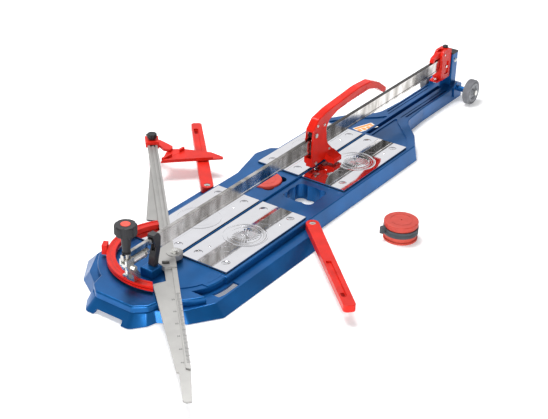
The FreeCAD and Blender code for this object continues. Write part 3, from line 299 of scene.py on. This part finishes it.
def relief_height(r, turn):
    """Height of the stamped medallion at radius r and angle turn, both from its centre."""
    rim = math.exp(-((r - 54.5 * MM) / (1.8 * MM)) ** 2)
    inner_rim = math.exp(-((r - 41 * MM) / (1.2 * MM)) ** 2)
    bead = math.exp(-((r - 47.5 * MM) / (2.2 * MM)) ** 2) * max(0.0, math.cos(BEADS * turn))
    petal = 0.5 + 0.5 * math.cos(PETALS * turn)
    field = petal * math.sin(math.pi * min(1.0, r / (38 * MM))) if r < 38 * MM else 0.0
    boss = math.exp(-(r / (9 * MM)) ** 2)
    star = math.exp(-((r - 21 * MM) / (1.2 * MM)) ** 2)
    return (0.05 + 0.45 * rim + 0.25 * inner_rim + 0.3 * bead + 0.28 * field + 0.4 * boss
            + 0.2 * star) * MM


def medallion(centre):
    """Round shield with its relief, as one fine surface."""
    rings, steps = 54, 192
    verts, faces = [centre + Vector((0, 0, relief_height(0, 0)))], []
    for k in range(1, rings + 1):
        r = MEDALLION_R * k / rings
        for i in range(steps):
            turn = 2 * math.pi * i / steps
            verts.append(centre + Vector((r * math.cos(turn), r * math.sin(turn),
                                          relief_height(r, turn))))
    for i in range(steps):
        j = (i + 1) % steps
        faces.append((0, 1 + i, 1 + j))
        for k in range(rings - 1):
            a, b = 1 + k * steps, 1 + (k + 1) * steps
            faces.append((a + i, b + i, b + j, a + j))
    return verts, faces


def stud(centre, radius, height):
    """Round raised mark with a rolled edge."""
    profile = [(radius, -0.1 * MM), (radius, 0.0)]
    for k in range(1, 6):
        a = math.pi / 2 * k / 5
        profile.append((radius - 1.2 * MM * (1 - math.cos(a)), height * math.sin(a)))
    profile += [(radius * 0.6, height * 0.86), (radius * 0.25, height * 0.8),
                (0.05 * MM, height * 0.8)]
    return lathe(profile, centre, 40)


def ribbon(points, width, height):
    """Low raised line through points on a flat surface."""
    verts, faces = [], []
    for i, point in enumerate(points):
        ahead = points[min(i + 1, len(points) - 1)] - points[max(i - 1, 0)]
        side = Vector((-ahead.y, ahead.x, 0)).normalized() * width / 2
        taper = math.sin(math.pi * (i + 0.5) / len(points)) ** 0.5
        crest = point + Vector((0, 0, height * taper))
        verts += [point - side * taper, crest, point + side * taper]
    for i in range(len(points) - 1):
        for k in (0, 1):
            a = 3 * i + k
            faces.append((a, a + 1, a + 4, a + 3))
    return verts, faces


def scroll(centre, way, turn):
    """Curl beside the medallion, drawn outwards along way (+1 or -1)."""
    points = []
    for k in range(25):
        u = k / 24
        x = way * (SCROLL_START + SCROLL_LENGTH * u) * MM
        y = turn * (14 * math.sin(2.4 * u * math.pi) * (1 - 0.5 * u) - 6) * MM
        points.append(centre + Vector((x, y, ABOVE_PLATE)))
    return ribbon(points, 1.4 * MM, 0.5 * MM)


def arc_mark(centre, radius):
    """Dark arc of 200 degrees around a pressed mark, on its side away from the camera: painted
    reflection of the dim overhead in the mark's far wall.
    """
    points = []
    for k in range(31):
        a = math.radians(38 - 100 + 200 * k / 30)
        points.append(centre + Vector((radius * math.cos(a), radius * math.sin(a), ABOVE_PLATE)))
    return ribbon(points, 2.6 * MM, 0.12 * MM)


def plate_relief():
    """Medallion, studs, scrolls and corner arcs on each of the four plates."""
    material = MATERIALS["mirror_plate"]
    for row in ("front", "rear"):
        for side in ("near", "far"):
            node = "plate_%s_%s" % (row, side)
            low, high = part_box(node)
            centre = Vector(((low.x + high.x) / 2, (low.y + high.y) / 2, high.z))
            reach_x, reach_y = (high.x - low.x) / 2, (high.y - low.y) / 2
            marks, etched_and_shaded_lines = [], []
            for sx in (-1, 1):
                for sy in (-1, 1):
                    corner = Vector((sx * (reach_x - CORNER_IN_X), sy * (reach_y - CORNER_IN_Y), 0))
                    # corner arcs: painted reflection of the dim overhead in each mark's far wall
                    etched_and_shaded_lines.append(arc_mark(centre + corner, CORNER_ARC_R))
                aside = Vector((sx * (reach_x - STUD_IN_X), -sx * STUD_OFF_Y, 0))
                marks.append(stud(centre + aside, STUD_R, STUD_HEIGHT))
                etched_and_shaded_lines.append(scroll(centre, sx, sx))
                etched_and_shaded_lines.append(scroll(centre, sx, -sx))
            body = BODY_OF[node]
            piece("medallion_%s_%s" % (row, side), *medallion(centre), material, body,
                  "mirror_plate")
            piece("stamped_marks_%s_%s" % (row, side), *join(marks), material, body,
                  "mirror_plate")
            piece("etched_marks_%s_%s" % (row, side), *join(etched_and_shaded_lines), ETCHED_AND_SHADED, body, "mirror_plate")


# ---------------------------------------------------------------- tyres
TYRE_IN_R = 27.0 * MM       # edge of the tyre on its rim
SHOULDER_R = 39 * MM
SIDEWALL_R = 37.2 * MM
RIBS = 6
GROOVE_DEPTH = 1.5 * MM
RIB_CROWN = 0.1 * MM        # how far a rib's edges lie below its middle


def tyre_profile(radius, half):
    """Section of a tyre with ribs around its tread."""
    profile = [(TYRE_IN_R, -half + 2 * MM), (33 * MM, -half), (SIDEWALL_R, -half),
               (SHOULDER_R, -half + 1.2 * MM)]
    first, last = -half + 2.4 * MM, half - 2.4 * MM
    step = (last - first) / (RIBS - 0.35)
    for k in range(RIBS):
        start = first + k * step
        profile += [(radius - GROOVE_DEPTH, start - 0.1 * MM),
                    (radius - RIB_CROWN, start + 0.35 * MM),
                    (radius, start + 0.3 * step),
                    (radius - RIB_CROWN, start + 0.58 * step),
                    (radius - GROOVE_DEPTH, start + 0.66 * step)]
    # outer face, with a shallow ring groove in the sidewall
    profile += [(SHOULDER_R, half - 1.2 * MM), (SIDEWALL_R, half), (35 * MM, half),
                (34.4 * MM, half - 0.9 * MM), (32.6 * MM, half - 0.9 * MM), (32 * MM, half),
                (29 * MM, half), (TYRE_IN_R, half - 1.2 * MM), (TYRE_IN_R, -half + 2 * MM)]
    return profile


def tyres():
    """Ribbed tyres in place of the plain ones."""
    for side, way in (("near", -1), ("far", 1)):
        node = "tyre_" + side
        low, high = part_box(node)
        centre = (low + high) / 2
        half = (high.y - low.y) / 2
        radius = (high.x - low.x) / 2 - 0.02 * MM       # just inside the plain tyre
        profile = [(r, way * h) for r, h in tyre_profile(radius, half)]
        item = piece("ribbed_tyre_" + side, *lathe(profile, centre, 96, "Y"),
                     MATERIALS["grey_tyre"], BODY_OF[node], "grey_tyre")
        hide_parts(node)


# ---------------------------------------------------------------- scales
BAR_STEP = 4 * MM           # height of the raised edge over the bar's flat
BAR_MARKS = range(180, 460, 5)      # distances from the pivot, mm
LONG_MARK = (2.0, 0.9)      # where a line starts across the edge, and half its width, mm
SHORT_MARK = (5.0, 0.7)
MARK_END = 11.0
RING_SUNK = 1.2 * MM        # depth of the ring's scale face
RING_MARK_OUT = 158.5 * MM


def text_piece(name, words, place, height, turn, body):
    """Number lying flat on a face."""
    curve = bpy.data.curves.new(name, "FONT")
    curve.body = words
    curve.size = height
    curve.extrude = 0.05 * MM
    curve.align_x = "CENTER"
    curve.align_y = "CENTER"
    curve.materials.append(INK)
    item = bpy.data.objects.new(name, curve)
    item.location = place
    item.rotation_euler = (0, 0, turn)
    bpy.context.scene.collection.objects.link(item)
    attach(item, body)


def bar_scale():
    """Lines every 5 mm on the raised edge of the gauge bar, and centimetre numbers beside it."""
    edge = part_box("gauge_bar_near")[1].z
    face = edge - BAR_STEP
    for s in range(20, 46, 5):
        text_piece("bar_number_%d" % s, str(s), along_gauge(-s * 10 * MM, 20 * MM, face + 0.1 * MM),
                   8 * MM, GAUGE_ANGLE - math.pi / 2, "gauge")
    marks = []
    for s in BAR_MARKS:
        first, half = LONG_MARK if s % 25 == 5 else SHORT_MARK
        ends = [along_gauge((-s + a) * MM, b * MM, 0) for a, b in
                ((-half, first), (half, first), (half, MARK_END), (-half, MARK_END))]
        marks.append(slab([(p.x, p.y) for p in ends], edge - 0.3 * MM, edge + 0.1 * MM))
    piece("bar_marks", *join(marks), INK, "gauge", "gauge_aluminium", False)


def ring_scale():
    """Degree marks in the sunk face of the protractor ring."""
    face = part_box("protractor_ring")[1].z - RING_SUNK
    pivot = Vector((GAUGE_PIVOT.x, GAUGE_PIVOT.y))
    marks = []
    for degree in range(20, 152, 2):
        turn = GAUGE_ANGLE + math.radians(degree)
        inner = (154.5 if degree % 10 else 151.5) * MM
        outward = Vector((math.cos(turn), math.sin(turn)))
        aside = Vector((-outward.y, outward.x)) * 0.3 * MM
        ends = [pivot + outward * r + aside * k for r, k in
                ((inner, -1), (RING_MARK_OUT, -1), (RING_MARK_OUT, 1), (inner, 1))]
        marks.append(slab([tuple(p) for p in ends], face - 0.05 * MM, face + 0.15 * MM))
    piece("ring_marks", *join(marks), INK, "gauge", "red_plastic", False)


# ---------------------------------------------------------------- label, cap and wheel trim
LABEL_CENTRE = (921 * MM, 29 * MM)      # from the layout's zero
LABEL_TURN = math.radians(-19)
LABEL_DROP = 8.3 * MM       # from the plates' top down to the base under the label
CLAMP_SCREW_IN = 23 * MM    # clamp's upright screw, in from the clamp's back
CAP_DROP = 5.5 * MM         # from the screws' highest point down to the cap's lower edge


def sticker():
    """Wordless label on the base behind the rear plates."""
    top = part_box("plate_rear_far")[1].z - LABEL_DROP
    centre = Vector((ZERO_X + LABEL_CENTRE[0], ZERO_Y + LABEL_CENTRE[1]))
    along = Vector((math.cos(LABEL_TURN), math.sin(LABEL_TURN)))
    across = Vector((-along.y, along.x))

    def patch(a0, a1, b0, b1, low, high):
        """Block from a0 to a1 along the label and b0 to b1 across it, in mm."""
        ends = [centre + along * a * MM + across * b * MM
                for a, b in ((a0, b0), (a1, b0), (a1, b1), (a0, b1))]
        return slab([tuple(p) for p in ends], top + low * MM, top + high * MM)

    piece("label_base", *patch(-36, 36, -17, 17, -0.1, 0.2), STICKER, "base", "blue_casting", False)
    bands = [patch(-33 + 17 * i, -20 + 17 * i, -13, 2, 0.1, 0.3) for i in range(4)]
    bands.append(patch(-33, 32, 5, 14, 0.1, 0.3))
    piece("label_bands", *join(bands), STICKER_BAND, "base", "blue_casting", False)


def clamp_cap():
    """Black plastic cap over the head of the clamp's upright screw."""
    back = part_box("rear_clamp")[1].x
    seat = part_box("clamp_screws")[1].z - CAP_DROP
    centre = Vector((back - CLAMP_SCREW_IN, ZERO_Y, seat))
    profile = [(7.1 * MM, 0), (8.2 * MM, 0), (8.6 * MM, 1 * MM), (8.6 * MM, 4.6 * MM),
               (7.6 * MM, 5.9 * MM), (4 * MM, 6.2 * MM), (0.05 * MM, 6.2 * MM)]
    piece("clamp_screw_cap", *lathe(profile, centre, 32), MATERIALS["black_plastic"], "base",
          "black_plastic")


def wheel_trim():
    """Pale ring around each wheel's outer face."""
    for side, way in (("near", -1), ("far", 1)):
        low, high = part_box("tyre_" + side)
        centre = (low + high) / 2
        face = (high.y - low.y) / 2
        profile = [(29.4 * MM, face - 0.3 * MM), (29.2 * MM, face + 0.5 * MM),
                   (27.6 * MM, face + 0.9 * MM), (25.6 * MM, face + 0.5 * MM),
                   (25.2 * MM, face - 2.2 * MM)]
        profile = [(r, way * h) for r, h in profile]
        piece("wheel_trim_" + side, *lathe(profile, centre, 72, "Y"), MATERIALS["grey_plastic"],
              BODY_OF["tyre_" + side], "grey_plastic")


# ---------------------------------------------------------------- floor, light and camera
FLOOR_SIZE = 60
CAMERA_AT = (-2148.2 * MM, -1741.1 * MM)    # from the layout's zero
CAMERA_HEIGHT = 1708.5 * MM
CAMERA_FORWARD = (0.72310, 0.49284, -0.48399)
CAMERA_ROLL = math.radians(1.697)
LENS = 85.65
AWAY_FROM_CAMERA = (0.826, 0.563, 0.0)
DIM_PATCH = (0.847, -0.219, 0.485)          # direction of its centre


def add_floor():
    """Plain pale floor."""
    bpy.ops.mesh.primitive_plane_add(size=FLOOR_SIZE, location=(0, 0, 0))
    floor = bpy.context.object
    floor.name = "floor"
    floor.data.materials.append(surface("floor_white", (0.86, 0.86, 0.86), (0.7, 0.8), 0.0, 0.01,
                                        2, 40, 0.02, Emission_Color=(1, 1, 1, 1),
                                        Emission_Strength=0.3))


def add_world():
    """Studio surroundings: bright near the horizon, dim overhead and behind the camera."""
    world = bpy.data.worlds.new("studio")
    bpy.context.scene.world = world
    world.use_nodes = True
    tree = world.node_tree
    background = tree.nodes["Background"]
    coords = tree.nodes.new("ShaderNodeTexCoord")
    split = tree.nodes.new("ShaderNodeSeparateXYZ")
    ramp = tree.nodes.new("ShaderNodeValToRGB")
    ramp.color_ramp.elements[0].color = (0.92, 0.92, 0.94, 1)
    ramp.color_ramp.elements[1].color = (0.16, 0.16, 0.18, 1)
    ramp.color_ramp.elements[0].position = 0.58
    ramp.color_ramp.elements[1].position = 0.86
    tree.links.new(coords.outputs["Generated"], split.inputs["Vector"])
    tree.links.new(split.outputs["Z"], ramp.inputs["Fac"])
    background.inputs["Strength"].default_value = 0.95
    facing = tree.nodes.new("ShaderNodeVectorMath")
    facing.operation = "DOT_PRODUCT"
    facing.inputs[1].default_value = AWAY_FROM_CAMERA
    side = add_node(tree, "ShaderNodeMapRange", From_Min=-0.3, From_Max=0.45, To_Min=0.42,
                    To_Max=1.0)
    shade = tree.nodes.new("ShaderNodeMix")
    shade.data_type = "RGBA"
    shade.inputs["A"].default_value = (0, 0, 0, 1)
    tree.links.new(coords.outputs["Generated"], facing.inputs[0])
    tree.links.new(facing.outputs["Value"], side.inputs["Value"])
    tree.links.new(side.outputs["Result"], shade.inputs["Factor"])
    tree.links.new(ramp.outputs["Color"], shade.inputs["B"])
    # a dim patch beyond the rear near corner, which darkens the rail's image in the plates
    toward = tree.nodes.new("ShaderNodeVectorMath")
    toward.operation = "DOT_PRODUCT"
    toward.inputs[1].default_value = DIM_PATCH
    dim = add_node(tree, "ShaderNodeMapRange", From_Min=0.950, From_Max=0.958, To_Min=1.0,
                   To_Max=0.06)
    patch = tree.nodes.new("ShaderNodeMix")
    patch.data_type = "RGBA"
    patch.inputs["A"].default_value = (0, 0, 0, 1)
    tree.links.new(coords.outputs["Generated"], toward.inputs[0])
    tree.links.new(toward.outputs["Value"], dim.inputs["Value"])
    tree.links.new(dim.outputs["Result"], patch.inputs["Factor"])
    tree.links.new(shade.outputs["Result"], patch.inputs["B"])
    tree.links.new(patch.outputs["Result"], background.inputs["Color"])


def add_light(name, place, target, size, power):
    """Soft rectangular lamp that points at a target."""
    light = bpy.data.lights.new(name, "AREA")
    light.shape = "RECTANGLE"
    light.size, light.size_y = size
    light.energy = power
    item = bpy.data.objects.new(name, light)
    item.location = place
    item.rotation_euler = (Vector(target) - Vector(place)).to_track_quat("-Z", "Y").to_euler()
    bpy.context.scene.collection.objects.link(item)


def add_lights():
    """One large lamp low in front of the cutter and one high above it."""
    add_light("front_soft", (-3.0, -1.6, 0.7), (-0.5, 0, 0.05), (2.4, 1.2), 80)
    add_light("top_soft", (0.2, 0.9, 3.2), (0, 0, 0), (2.0, 1.3), 130)


def add_camera():
    """Camera above the front near corner, looking along the rail."""
    data = bpy.data.cameras.new("camera")
    data.sensor_width = 36
    data.lens = LENS
    camera = bpy.data.objects.new("camera", data)
    camera.location = (ZERO_X + CAMERA_AT[0], ZERO_Y + CAMERA_AT[1], CAMERA_HEIGHT)
    camera.rotation_mode = "QUATERNION"
    aim = Vector(CAMERA_FORWARD).to_track_quat("-Z", "Y")
    camera.rotation_quaternion = aim @ Quaternion((0, 0, 1), CAMERA_ROLL)
    data.clip_end = 100
    bpy.context.scene.collection.objects.link(camera)
    bpy.context.scene.camera = camera
    bpy.context.scene.view_settings.view_transform = "Standard"


add_camera()
add_world()
add_lights()
add_floor()
dress_nodes()
plate_relief()
tyres()
bar_scale()
ring_scale()
sticker()
clamp_cap()
wheel_trim()
